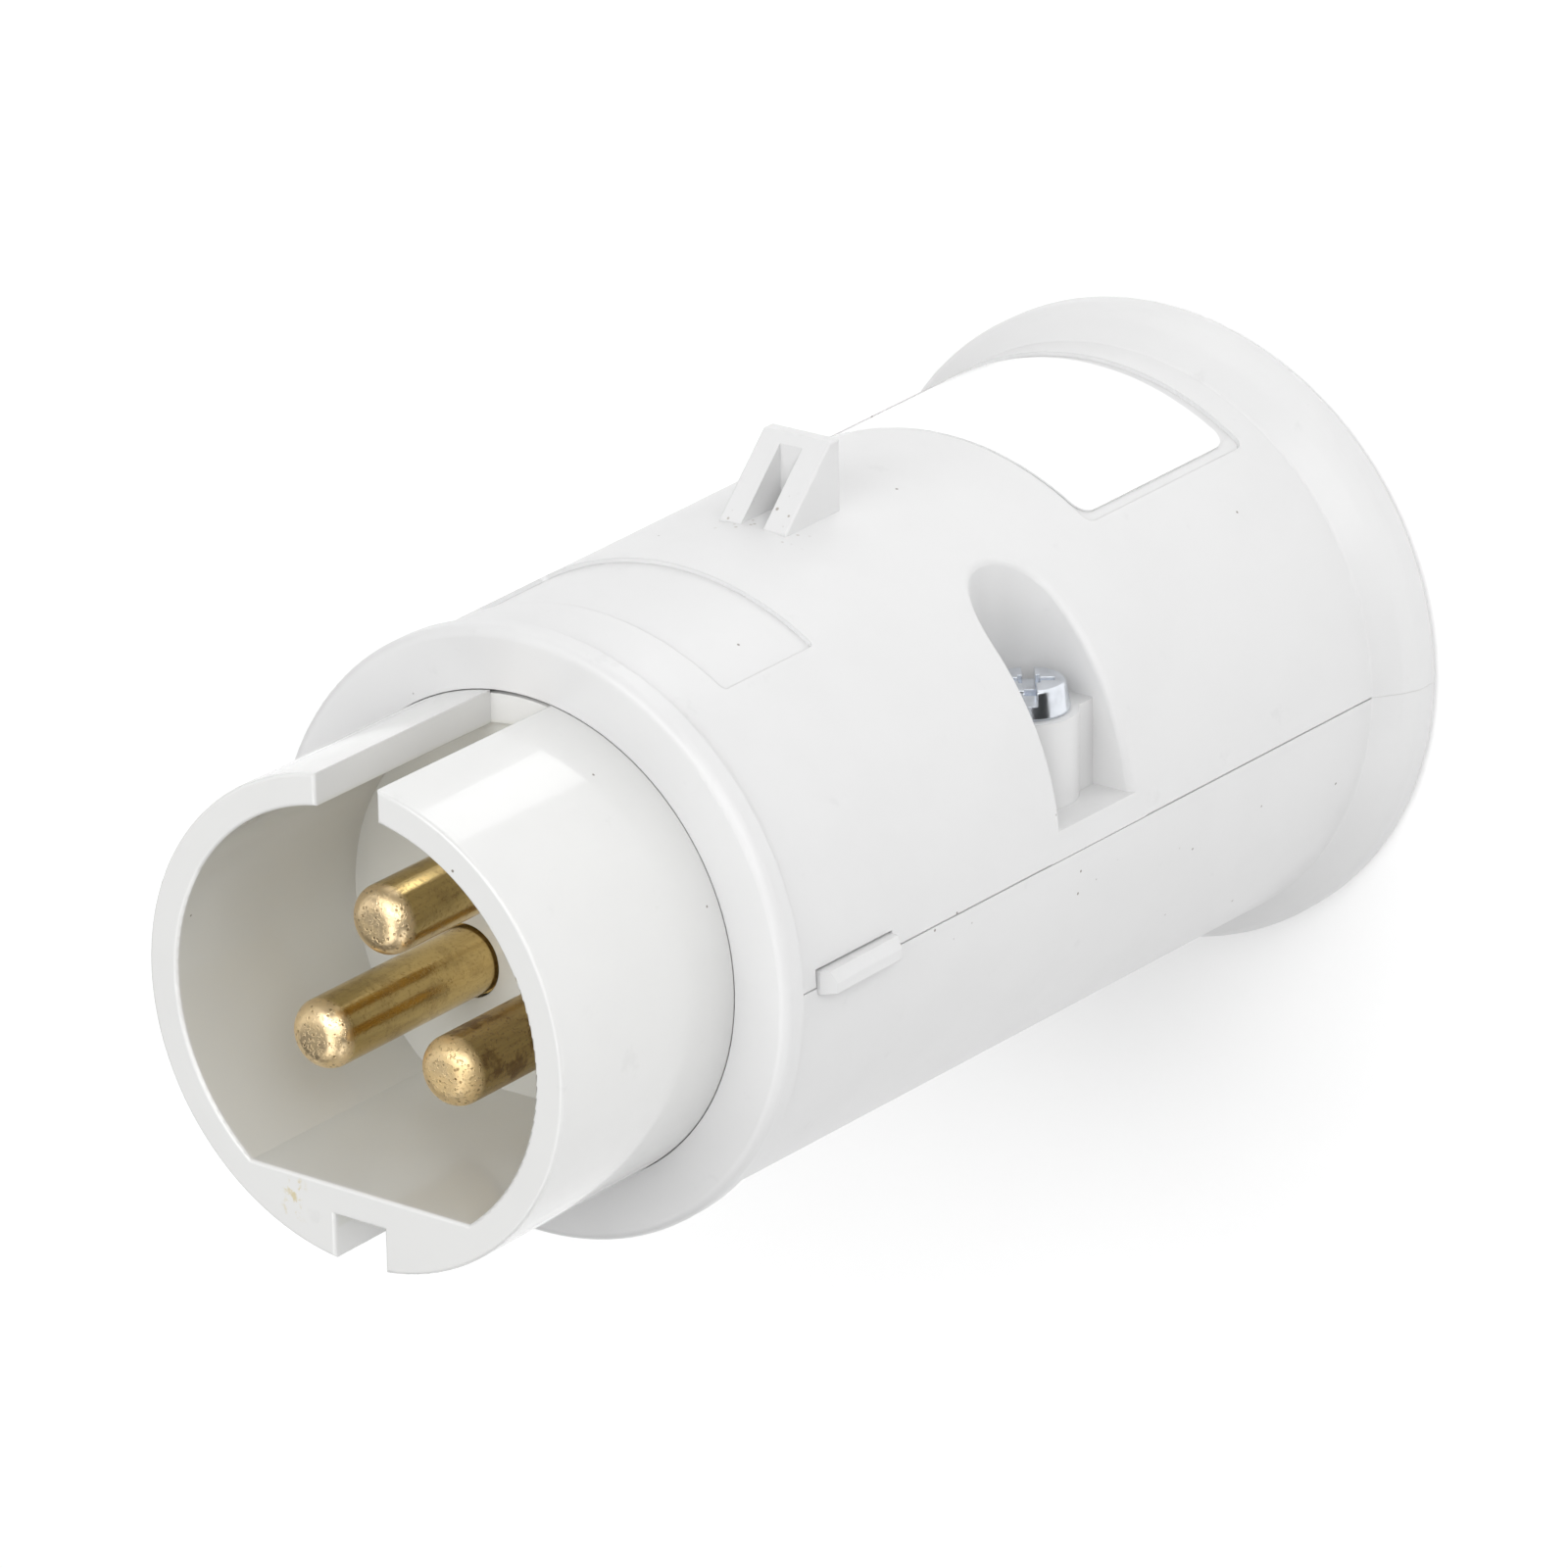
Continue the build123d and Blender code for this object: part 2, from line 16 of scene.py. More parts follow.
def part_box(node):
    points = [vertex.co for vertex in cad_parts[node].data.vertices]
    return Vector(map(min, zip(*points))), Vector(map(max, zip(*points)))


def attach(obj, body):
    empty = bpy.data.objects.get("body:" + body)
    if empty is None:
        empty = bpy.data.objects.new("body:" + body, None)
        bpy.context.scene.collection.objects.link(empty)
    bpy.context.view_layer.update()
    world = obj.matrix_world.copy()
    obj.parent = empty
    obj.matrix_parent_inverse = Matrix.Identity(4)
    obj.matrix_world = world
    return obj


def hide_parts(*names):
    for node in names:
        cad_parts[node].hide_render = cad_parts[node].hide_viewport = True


bl_info = {
    "name": "Industrial plug",
    "version": (1, 0, 0),
    "blender": (4, 5, 0),
    "location": "3D View > Sidebar > Plug",
    "description": "Shapes, finishes and stage of an industrial plug with a tubular shroud",
    "category": "Object",
}

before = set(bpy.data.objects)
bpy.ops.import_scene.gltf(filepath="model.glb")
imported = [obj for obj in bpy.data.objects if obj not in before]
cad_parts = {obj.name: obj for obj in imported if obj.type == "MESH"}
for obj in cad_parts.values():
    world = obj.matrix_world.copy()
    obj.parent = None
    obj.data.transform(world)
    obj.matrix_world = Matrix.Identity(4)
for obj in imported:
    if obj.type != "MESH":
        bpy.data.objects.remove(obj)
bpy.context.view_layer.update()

MM = 0.001

# Facets around a turned piece and around a drilled hole, and steps along the rounding of an edge
TURNED_FACETS = 96
HOLE_FACETS = 48
TIP_STEPS = 14
HEAD_STEPS = 6

# Marks on the plug end softly. Each pair says where an edge of a mark begins and where it is complete
LUG_REAR, LUG_FRONT = (57.5, 59.5), (61.5, 63.0)
LUG_SIDE, LUG_FOOT = (3.5, 6.5), (-27.2, -25.0)
WELL_REAR, WELL_FRONT = (43.0, 43.6), (50.0, 53.0)
WELL_TOP, WELL_FLOOR = (-17.0, -13.0), (-2.4, -2.2)
WELL_INNER, WELL_OUTER = (17.5, 19.0), (25.4, 25.8)
STAIN_NEAR, STAIN_FAR = (5.2, 6.2), (7.2, 8.4)
STAIN_INNER, STAIN_OUTER = (14.6, 15.6), (17.8, 19.0)
RIM = (112.5, 114.2)
BORE_WALL, BORE_MOUTH = (18.5, 18.9), (113.9, 114.4)
DULL_CONTACT, CONTACT_TIP = (-5.5, -3.5), (109.6, 110.4)

# How strongly each mark shows in the plastic, and the lightness that its clouds and smudges keep
CLOUD_SHARE, SMUDGE_SHARE, SPECK_SHARE, DIRT_SHARE = 0.35, 0.3, 0.8, 0.7
CLOUD_SHADE, SMUDGE_SHADE = 0.95, 0.86

# Width of the camera's sensor in millimetres
SENSOR = 36.0

# Soft square lights of the studio: name, place in metres, power in watts
LIGHTS = (
    ("Front light", (-0.74, -0.49, 1.09), 5.9),
    ("Key light", (0.03, -0.65, 1.24), 7.6),
    ("Near side light", (-0.88, -0.88, 0.54), 4.8),
    ("Far side light", (-0.88, 0.93, 0.54), 3.3),
    ("Right light", (0.93, -0.88, 0.54), 1.9),
    ("Right rear light", (1.04, 0.02, 0.92), 2.2),
    ("Rear light", (0.03, 0.68, 1.22), 4.1),
    ("Top light", (0.03, 0.02, 1.4), 2.8),
)


def length(name, description, millimetres):
    """A size in metres that a user may change."""
    return bpy.props.FloatProperty(
        name=name, description=description, default=millimetres * MM, unit="LENGTH", precision=5
    )


def angle(name, description, degrees):
    """An angle that a user may change."""
    return bpy.props.FloatProperty(
        name=name, description=description, default=radians(degrees), subtype="ANGLE"
    )


def number(name, description, value, least=0):
    """A plain number that a user may change."""
    return bpy.props.FloatProperty(name=name, description=description, default=value, min=least)


def colour(name, description, red, green, blue):
    """A linear colour that a user may change."""
    return bpy.props.FloatVectorProperty(
        name=name, description=description, default=(red, green, blue), subtype="COLOR", min=0, max=1
    )


class PlugColours(bpy.types.PropertyGroup):
    """Colours of the plug's materials."""

    body: colour("Body", "Plastic of the two shells and the front ring", 0.73, 0.73, 0.73)
    shroud: colour("Shroud", "Plastic of the shroud and the contact carrier", 0.74, 0.74, 0.73)
    # Painted shade: the plastic in the bore is drawn darker and a little yellower than the shroud's
    inner: colour("Bore", "Plastic inside the shroud, which is a little yellower", 0.70, 0.70, 0.665)
    brass: colour("Brass", "Shaft of the contacts", 0.72, 0.53, 0.22)
    frosted: colour("Frosted brass", "Tips of the contacts", 0.98, 0.76, 0.46)
    tarnish: colour("Tarnish", "Dull streaks and pits on the contacts", 0.27, 0.17, 0.07)
    zinc: colour("Zinc", "Plating of the housing screws", 0.72, 0.75, 0.80)
    steel: colour("Steel", "Screws inside the plug", 0.55, 0.56, 0.58)
    label: colour("Label", "Film of the label", 0.93, 0.93, 0.93)
    rubber: colour("Rubber", "Seal and cord grommet", 0.05, 0.05, 0.05)
    clamp: colour("Clamp", "Plastic of the cord clamp and the retainer", 0.62, 0.61, 0.57)
    speck: colour("Speck", "Small dark marks in the plastic", 0.12, 0.09, 0.06)
    stain: colour("Stain", "Yellowish marks on the rim of the shroud", 0.60, 0.50, 0.24)
    grime: colour("Grime", "Brownish dirt at the lug and in the screw wells", 0.20, 0.14, 0.08)
    floor: colour("Floor", "Surface that the plug stands on", 0.97, 0.97, 0.97)
    floor_clouds: colour("Floor clouds", "Faint clouds in that surface", 0.965, 0.965, 0.965)
    floor_glow: colour("Floor glow", "Light that the floor gives off", 1.0, 1.0, 1.0)
    sky: colour("Sky", "Light from all around", 1.0, 1.0, 1.0)


class PlugSizes(bpy.types.PropertyGroup):
    """Sizes of the pieces that are drawn more finely than in the CAD model."""

    pin_radius: length("Contact radius", "Free part of each contact", 3.0)
    pin_tip: length("Contact tip", "Radius of the rounding at the tip of each contact", 1.8)
    root_radius: length("Contact root", "Radius of each contact below the floor of the shroud", 3.13)
    root_step: length("Root step", "From the floor of the shroud down to the wider root", 0.6)
    floor_depth: length("Carrier thickness", "From the carrier's rear to the floor of the shroud", 11.5)
    bore_radius: length("Wire bore", "Radius of the bore for the wire in each terminal", 2.6)
    bore_depth: length("Wire bore depth", "Depth of the bore for the wire in each terminal", 15.0)
    collar: length("Collar radius", "Collar that holds each contact in the carrier", 5.2)
    collar_length: length("Collar length", "Length of that collar", 7.0)
    pin_edge: length("Contact edges", "Chamfer of the edges of the collar and the terminal", 0.15)
    screw_hole: length("Terminal screw hole", "Radius of the holes for the screws of each terminal", 1.8)
    terminal: length("Terminal radius", "Round part of each terminal", 4.4)
    terminal_flat: length("Terminal flat", "From the axis of a contact to the flat under its screws", 4.0)
    head_radius: length("Screw head radius", "Foot of the head of each housing screw", 3.5)
    head_top: length("Screw head top", "Radius of that head at its top", 3.15)
    head_height: length("Screw head height", "Height of that head", 2.6)
    shank_radius: length("Screw shank", "Outside of the thread of each housing screw", 1.7)
    thread_pitch: length("Thread pitch", "Distance from one turn of that thread to the next", 0.8)
    thread_depth: length("Thread depth", "From the outside of that thread to its core", 0.22)
    head_edge: length("Screw head edge", "Rounding of the top edge of that head", 0.35)
    slot_width: length("Screw slot", "Width of the slot and of the cross", 1.1)
    slot_depth: length("Screw slot depth", "Depth of the slot", 1.25)
    cross_reach: length("Cross reach", "From the middle of the head to the end of the cross", 2.3)
    slot_turn: angle("Slot turn", "Turn of the slot in the left screw", 128)


class PlugStage(bpy.types.PropertyGroup):
    """Floor, lights and camera around the plug."""

    aim_x: length("Aim X", "Point that the camera looks at, across the plug", 0.886)
    aim_y: length("Aim Y", "Point that the camera looks at, towards the parting plane", -1.342)
    aim_z: length("Aim Z", "Point that the camera looks at, above the floor", 55.378)
    distance: length("Distance", "From the camera to the point that it looks at", 781.79)
    azimuth: angle("Azimuth", "Turn of the camera from -Y towards -X", 56.56)
    elevation: angle("Elevation", "Height of the camera above the horizon", 48.07)
    roll: angle("Roll", "Turn of the picture about the line of sight", -116.97)
    lens: number("Lens", "Focal length on a 36 mm sensor, in millimetres", 211.44, 10)
    brightness: number("Brightness", "Strength of all the lights", 1.0)
    light_size: length("Light size", "Side of each square light", 900.0)
    floor_reach: length("Floor reach", "From the middle of the floor to its edge", 4000.0)
    floor_light: number("Floor light", "Strength of the floor's own light", 0.1)
    sky_light: number("Sky light", "Strength of the light from all around", 0.03)


class Value:
    """A socket of a material's nodes that can stand in sums and products."""

    def __init__(self, finish, socket):
        self.finish = finish
        self.socket = socket

    def __add__(self, other):
        return self.finish.math("ADD", self, other)

    def __radd__(self, other):
        return self.finish.math("ADD", other, self)

    def __sub__(self, other):
        return self.finish.math("SUBTRACT", self, other)

    def __rsub__(self, other):
        return self.finish.math("SUBTRACT", other, self)

    def __mul__(self, other):
        return self.finish.math("MULTIPLY", self, other)

    def __rmul__(self, other):
        return self.finish.math("MULTIPLY", other, self)

    def above(self, low, high):
        """0 up to low, 1 from high on, and a soft rise between them."""
        return self.finish.node(
            "ShaderNodeMapRange",
            {"interpolation_type": "SMOOTHSTEP"},
            {"Value": self, "From Min": low, "From Max": high},
        )

    def below(self, low, high):
        """1 up to low, 0 from high on, and a soft fall between them."""
        return 1.0 - self.above(low, high)

    def between(self, rise, fall):
        """1 within a band and 0 outside it, with soft edges."""
        return self.above(*rise) * self.below(*fall)


class Finish:
    """The node tree of one material around its Principled shader."""

    def __init__(self, name, roughness, metallic=0.0, coat=0.0, coat_roughness=0.03):
        self.material = bpy.data.materials.new(name)
        self.material.use_nodes = True
        self.tree = self.material.node_tree
        self.surface = self.tree.nodes["Principled BSDF"]
        self.set("Roughness", roughness)
        self.set("Metallic", metallic)
        self.set("Coat Weight", coat)
        self.set("Coat Roughness", coat_roughness)
        self.place = self.node("ShaderNodeTexCoord", {}, {}, "Object")

    def feed(self, socket, value):
        """Link a value to a socket, or write a number or a colour into it."""
        if isinstance(value, Value):
            self.tree.links.new(value.socket, socket)
        elif isinstance(value, (int, float)):
            socket.default_value = value
        else:
            socket.default_value = [*value, 1.0][: len(socket.default_value)]

    def set(self, name, value):
        """Give one input of the Principled shader a value or a link."""
        self.feed(self.surface.inputs[name], value)

    def node(self, kind, settings, inputs, *outputs):
        """Any other node: its type, its settings, its inputs by name or place, and its used outputs."""
        made = self.tree.nodes.new(kind)
        for name, value in settings.items():
            setattr(made, name, value)
        for name, value in inputs.items():
            self.feed(made.inputs[name], value)
        values = [Value(self, made.outputs[output]) for output in outputs or (0,)]
        return values if len(values) > 1 else values[0]

    def math(self, operation, *terms):
        """Result of one operation on one or two terms."""
        return self.node("ShaderNodeMath", {"operation": operation}, dict(enumerate(terms)))

    def stretched(self, x, y, z):
        """Place on the plug in millimetres, stretched along each axis."""
        factors = (x / MM, y / MM, z / MM)
        return self.node("ShaderNodeVectorMath", {"operation": "MULTIPLY"}, {0: self.place, 1: factors})

    def axes(self):
        """X, Y and Z of the place on the plug, in millimetres."""
        return self.node("ShaderNodeSeparateXYZ", {}, {0: self.stretched(1, 1, 1)}, 0, 1, 2)

    def noise(self, size, detail=2.0, roughness=0.5, place=None):
        """Cloudy pattern from 0 to 1 whose patches are about so many millimetres wide."""
        place = place or self.stretched(1, 1, 1)
        inputs = {"Vector": place, "Scale": 1 / size, "Detail": detail, "Roughness": roughness}
        return self.node("ShaderNodeTexNoise", {}, inputs)

    def specks(self, pitch, radius, share):
        """1 inside sparse round specks: their pitch, largest radius in millimetres, and the share kept."""
        inputs = {"Vector": self.stretched(1, 1, 1), "Scale": 1 / pitch}
        distance, cell = self.node("ShaderNodeTexVoronoi", {}, inputs, "Distance", "Color")
        near = distance.below(0.5 * radius / pitch, radius / pitch)
        drawn = self.node("ShaderNodeSeparateXYZ", {}, {0: cell})
        return near * self.math("LESS_THAN", drawn, share)

    def mixed(self, share, first, second):
        """Blend of two colours."""
        return self.node("ShaderNodeMix", {"data_type": "RGBA"}, {0: share, 6: first, 7: second}, 2)

    def bump(self, height, depth, strength=1.0, rounding=0.0):
        """Bump of so many millimetres from a height between 0 and 1, over edges rounded by a radius."""
        inputs = {"Height": height, "Distance": depth * MM, "Strength": strength}
        if rounding:
            inputs["Normal"] = self.node("ShaderNodeBevel", {"samples": 4}, {"Radius": rounding * MM})
        self.set("Normal", self.node("ShaderNodeBump", {}, inputs))


def darker(base, share):
    """A colour that keeps a share of its lightness."""
    return [part * share for part in base]


def body_dirt(finish):
    """Share of dirt on the body: at the foot of the lug and down in the screw wells."""
    x, y, z = finish.axes()
    across = finish.math("ABSOLUTE", x)
    at_lug = z.between(LUG_REAR, LUG_FRONT) * across.below(*LUG_SIDE) * y.below(*LUG_FOOT)
    in_well = z.between(WELL_REAR, WELL_FRONT) * y.between(WELL_TOP, WELL_FLOOR)
    in_well = in_well * across.between(WELL_INNER, WELL_OUTER)
    lug_specks = finish.specks(pitch=0.8, radius=0.2, share=0.5)
    well_specks = finish.specks(pitch=1.1, radius=0.2, share=0.3)
    return at_lug * lug_specks + in_well * well_specks


def shroud_dirt(finish):
    """Share of the yellowish stain on the rim of the shroud, beside the keyway."""
    x, y, z = finish.axes()
    patches = finish.noise(1.0, detail=4.0, roughness=0.6).above(0.54, 0.66)
    place = x.between(STAIN_NEAR, STAIN_FAR) * y.between(STAIN_INNER, STAIN_OUTER) * z.above(*RIM)
    return patches * place


def inside_shroud(finish):
    """1 within the bore of the shroud and on the floor between the contacts, where shade is painted into the
    plastic's colour.
    """
    x, y, z = finish.axes()
    distance = finish.math("SQRT", x * x + y * y)
    return distance.below(*BORE_WALL) * z.below(*BORE_MOUTH)


def plastic(name, base, colours, dirt, dirt_colour, roughness, coat=0.0, inner=None):
    """Moulded plastic with faint clouds, a fine grain, a few specks, dirt where it collects and, when a bore
    colour is given, painted shade inside the shroud.
    """
    finish = Finish(name, roughness, coat=coat)
    clouds = finish.noise(9.0, detail=3.0).above(0.35, 0.7)
    smudges = finish.noise(4.0, detail=4.0, roughness=0.6).above(0.64, 0.74)
    marks = finish.specks(pitch=2.2, radius=0.17, share=0.13)
    shade = finish.mixed(clouds * CLOUD_SHARE, base, darker(base, CLOUD_SHADE))
    shade = finish.mixed(smudges * SMUDGE_SHARE, shade, darker(base, SMUDGE_SHADE))
    if inner:
        # Painted shade: the bore and the floor between the contacts take a darker, yellower colour
        shade = finish.mixed(inside_shroud(finish), shade, inner)
    shade = finish.mixed(marks * SPECK_SHARE, shade, colours.speck)
    finish.set("Base Color", finish.mixed(dirt(finish) * DIRT_SHARE, shade, dirt_colour))
    finish.set("Roughness", roughness + finish.noise(3.0, detail=3.0) * 0.08)
    grain = finish.noise(0.35) * 0.5 + finish.noise(6.0, detail=1.0)
    finish.bump(grain, 0.012, rounding=0.12)
    return finish.material


def brass(name, colours, roughness):
    """Turned brass with faint lengthwise streaks and a paler, pitted tip. The left contact is dullest."""
    finish = Finish(name, roughness, metallic=1.0)
    x, y, z = finish.axes()
    lengthwise = finish.stretched(1, 1, 0.06)
    streaks = finish.noise(0.4, detail=3.0, roughness=0.6, place=lengthwise)
    patches = finish.noise(2.6, detail=5.0, roughness=0.62).above(0.5, 0.64)
    worn = finish.noise(1.7, detail=3.0, roughness=0.6).above(0.40, 0.60)
    grains = finish.noise(0.3, detail=2.0, roughness=0.7).above(0.54, 0.66)
    pits = finish.specks(pitch=0.5, radius=0.16, share=0.65)
    dull = x.below(*DULL_CONTACT)
    tip = z.above(*CONTACT_TIP)
    # Each weight says how much a pattern darkens the metal, and below how much it roughens or raises it
    shaft_dirt = streaks.above(0.4, 0.7) * 0.2 + patches * (0.25 + dull * 0.25) + dull * 0.4 + grains * 0.3
    shaft = finish.mixed(shaft_dirt, colours.brass, colours.tarnish)
    tip_dirt = pits * (0.6 + dull * 0.1) + grains * (0.2 + dull * 0.2)
    bare_tip = finish.mixed(worn * 0.2 + dull * 0.25, colours.frosted, colours.brass)
    finish.set("Base Color", finish.mixed(tip, shaft, finish.mixed(tip_dirt, bare_tip, colours.tarnish)))
    rubbed = tip * (0.1 + worn * 0.08)
    finish.set("Roughness", roughness + streaks * 0.08 + patches * 0.08 + dull * 0.14 + rubbed)
    raised = streaks * 0.15 + grains * (0.15 + tip * 0.25 + dull * 0.6)
    finish.bump(raised - pits * (0.1 + tip * 0.5), 0.05, strength=0.7)
    return finish.material


def metal(name, base, roughness):
    """Plain plated or machined metal with a slight cloudiness."""
    finish = Finish(name, roughness, metallic=1.0)
    clouds = finish.noise(1.6, detail=4.0)
    finish.set("Base Color", finish.mixed(clouds.above(0.4, 0.7) * 0.5, base, darker(base, 0.7)))
    finish.set("Roughness", roughness + clouds * 0.15)
    finish.bump(finish.noise(0.25), 0.01, rounding=0.1)
    return finish.material


def simple(name, base, roughness, grain=0.01, coat=0.0):
    """Smooth coloured finish with a fine grain, whose depth is in millimetres."""
    finish = Finish(name, roughness, coat=coat, coat_roughness=0.05)
    clouds = finish.noise(5.0, detail=3.0)
    finish.set("Base Color", finish.mixed(clouds * 0.3, base, darker(base, 0.93)))
    finish.set("Roughness", roughness + clouds * 0.06)
    finish.bump(finish.noise(0.4), grain)
    return finish.material


def cover(node, material):
    """Put one material on every slot of a CAD node."""
    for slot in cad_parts[node].material_slots:
        slot.material = material


def turned(outline, facets, placed):
    """Solid of revolution about local Z from (radius, height) points that start and end on the axis."""
    shape = bmesh.new()
    turns = [2 * pi * facet / facets for facet in range(facets)]
    rings = []
    for radius, height in outline:
        points = [(radius * cos(turn), radius * sin(turn), height) for turn in turns]
        if radius == 0:
            points = points[:1]
        rings.append([shape.verts.new(placed @ Vector(point)) for point in points])
    for low, high in zip(rings, rings[1:]):
        for here in range(facets):
            after = (here + 1) % facets
            around = ((low, here), (low, after), (high, after), (high, here))
            corners = [ring[facet % len(ring)] for ring, facet in around]
            shape.faces.new(list(dict.fromkeys(corners)))
    bmesh.ops.recalc_face_normals(shape, faces=shape.faces)
    return shape


def rounding(middle_radius, middle_height, radius, start, end, steps):
    """Points of an arc in an outline, from one angle to another in degrees."""
    angles = [radians(start + (end - start) * step / steps) for step in range(steps + 1)]
    return [(middle_radius + radius * cos(turn), middle_height + radius * sin(turn)) for turn in angles]


def tapered_block(reach, width, depth, taper, placed):
    """Block whose top face lies above local Z 0 and whose foot is narrower by a taper on each side."""
    shape = bmesh.new()
    corners = []
    for height, inset in ((-depth, taper), (depth / 2, 0)):
        x, y = reach / 2 - inset, width / 2 - inset
        for corner in ((-x, -y), (x, -y), (x, y), (-x, y)):
            corners.append(shape.verts.new(placed @ Vector((*corner, height))))
    for face in ((3, 2, 1, 0), (4, 5, 6, 7), (0, 1, 5, 4), (1, 2, 6, 5), (2, 3, 7, 6), (3, 0, 4, 7)):
        shape.faces.new([corners[place] for place in face])
    return shape


def solid(name, shape):
    """Object made of a bmesh, which is then freed."""
    mesh = bpy.data.meshes.new(name)
    shape.to_mesh(mesh)
    shape.free()
    made = bpy.data.objects.new(name, mesh)
    bpy.context.scene.collection.objects.link(made)
    return made


def cut(body, tool):
    """Take one solid away from another and discard the tool."""
    modifier = body.modifiers.new("Cut", "BOOLEAN")
    modifier.operation = "DIFFERENCE"
    modifier.solver = "EXACT"
    modifier.object = tool
    bpy.context.view_layer.update()
    evaluated = body.evaluated_get(bpy.context.evaluated_depsgraph_get())
    cut_mesh = bpy.data.meshes.new_from_object(evaluated)
    body.modifiers.clear()
    body.data = cut_mesh
    bpy.data.objects.remove(tool)


def settle(piece, finish, node, crease=30.0):
    """Shade a piece smooth up to a crease angle, give it its finish and let it stand for its CAD node."""
    shape = bmesh.new()
    shape.from_mesh(piece.data)
    for face in shape.faces:
        face.smooth = True
    for edge in shape.edges:
        edge.smooth = edge.is_manifold and edge.calc_face_angle(0.0) < radians(crease)
    shape.to_mesh(piece.data)
    shape.free()
    piece.data.materials.clear()
    piece.data.materials.append(finish)
    cover(node, finish)
    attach(piece, "root")
    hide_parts(node)


def contact_outline(size, rear, base, front):
    """Half section of a contact, from its bored rear past the carrier's base to its rounded front."""
    collar_front = base + size.collar_length
    root_front = base + size.floor_depth - size.root_step
    tip_middle = size.pin_radius - size.pin_tip
    return [
        (0, rear + size.bore_depth),
        (size.bore_radius, rear + size.bore_depth),
        (size.bore_radius, rear + size.pin_edge),
        (size.bore_radius + size.pin_edge, rear),
        (size.terminal - size.pin_edge, rear),
        (size.terminal, rear + size.pin_edge),
        (size.terminal, base),
        (size.collar - size.pin_edge, base),
        (size.collar, base + size.pin_edge),
        (size.collar, collar_front - size.pin_edge),
        (size.collar - size.pin_edge, collar_front),
        (size.root_radius, collar_front),
        (size.root_radius, root_front),
        (size.pin_radius, root_front),
        *rounding(tip_middle, front - size.pin_tip, size.pin_tip, start=0, end=90, steps=TIP_STEPS),
        (0, front),
    ]


class PLUG_OT_contacts(bpy.types.Operator):
    """Draw the three contacts with their rounded tips, collars and bored terminals"""

    bl_idname = "plug.contacts"
    bl_label = "Contacts"

    def execute(self, context):
        size = context.scene.plug_sizes
        colours = context.scene.plug_colours
        finish = brass("Contact brass", colours, roughness=0.15)
        steel = metal("Terminal screw steel", colours.steel, roughness=0.3)
        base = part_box("shroud_carrier")[0].z
        reach = 2 * size.collar
        hole = [(0, 0), (size.screw_hole, 0), (size.screw_hole, reach), (0, reach)]
        for name in ("top", "left", "right"):
            low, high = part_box(f"contact_pin_{name}")
            axis = Vector((low.x + high.x, low.y + high.y, 0)) / 2
            outward = axis.normalized()
            outline = contact_outline(size, low.z, base, high.z)
            shape = turned(outline, TURNED_FACETS, Matrix.Translation(axis))
            for vertex in shape.verts:
                beyond = (vertex.co - axis).dot(outward) - size.terminal_flat
                if vertex.co.z < base - size.pin_edge and beyond > 0:
                    vertex.co -= outward * beyond
            contact = solid(f"contact_{name}", shape)
            for place in (1, 2):
                node = f"terminal_screw_{name}_{place}"
                cover(node, steel)
                screw_low, screw_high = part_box(node)
                level = Matrix.Translation(axis + Vector((0, 0, (screw_low.z + screw_high.z) / 2)))
                drill = level @ outward.to_track_quat("Z", "Y").to_matrix().to_4x4()
                cut(contact, solid("Drill", turned(hole, HOLE_FACETS, drill)))
            settle(contact, finish, f"contact_pin_{name}", crease=40.0)
        return {"FINISHED"}


def screw_outline(size, shank):
    """Half section of a housing screw, from its tip past its seat at height 0 to the top of its head."""
    core = size.shank_radius - size.thread_depth
    thread = []
    for turn in range(int((shank - size.shank_radius) / size.thread_pitch)):
        foot = size.shank_radius / 2 - shank + turn * size.thread_pitch
        thread += [(core, foot), (size.shank_radius, foot + size.thread_pitch / 2)]
    edge = size.head_edge
    return [
        (0, -shank),
        (size.shank_radius / 2, -shank),
        *thread,
        (core, 0),
        (size.head_radius - edge / 2, 0),
        (size.head_radius, edge / 2),
        (size.head_radius, edge),
        *rounding(size.head_top - edge, size.head_height - edge, edge, start=10, end=90, steps=HEAD_STEPS),
        (0, size.head_height),
    ]


class PLUG_OT_housing_screws(bpy.types.Operator):
    """Draw the two screws of the body with a slot, a cross and a thread"""

    bl_idname = "plug.housing_screws"
    bl_label = "Housing screws"

    def execute(self, context):
        size = context.scene.plug_sizes
        finish = metal("Zinc plating", context.scene.plug_colours.zinc, roughness=0.12)
        # Turns local Z out of the seat, towards -Y
        out_of_seat = Matrix(((1, 0, 0, 0), (0, 0, -1, 0), (0, 1, 0, 0), (0, 0, 0, 1)))
        width, depth = size.slot_width, size.slot_depth
        cross_depth, socket_depth = 1.25 * depth, 1.5 * depth
        socket = 2 * width
        taper = 0.2 * socket
        overrun = 3 * size.head_radius
        for name, slot_turn in (("left", size.slot_turn), ("right", pi - size.slot_turn)):
            low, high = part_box(f"housing_screw_{name}")
            seat = low.y + size.head_height
            placed = Matrix.Translation(((low.x + high.x) / 2, seat, (low.z + high.z) / 2)) @ out_of_seat
            outline = screw_outline(size, high.y - seat)
            screw = solid(f"housing_screw_head_{name}", turned(outline, TURNED_FACETS, placed))
            along = placed @ Matrix.Translation((0, 0, size.head_height)) @ Matrix.Rotation(slot_turn, 4, "Z")
            across = along @ Matrix.Rotation(pi / 2, 4, "Z")
            for tool in (
                tapered_block(overrun, width, depth, 0, along),
                tapered_block(2 * size.cross_reach, width, cross_depth, taper, across),
                tapered_block(socket, socket, socket_depth, taper, along),
            ):
                cut(screw, solid("Cutter", tool))
            settle(screw, finish, f"housing_screw_{name}")
        return {"FINISHED"}


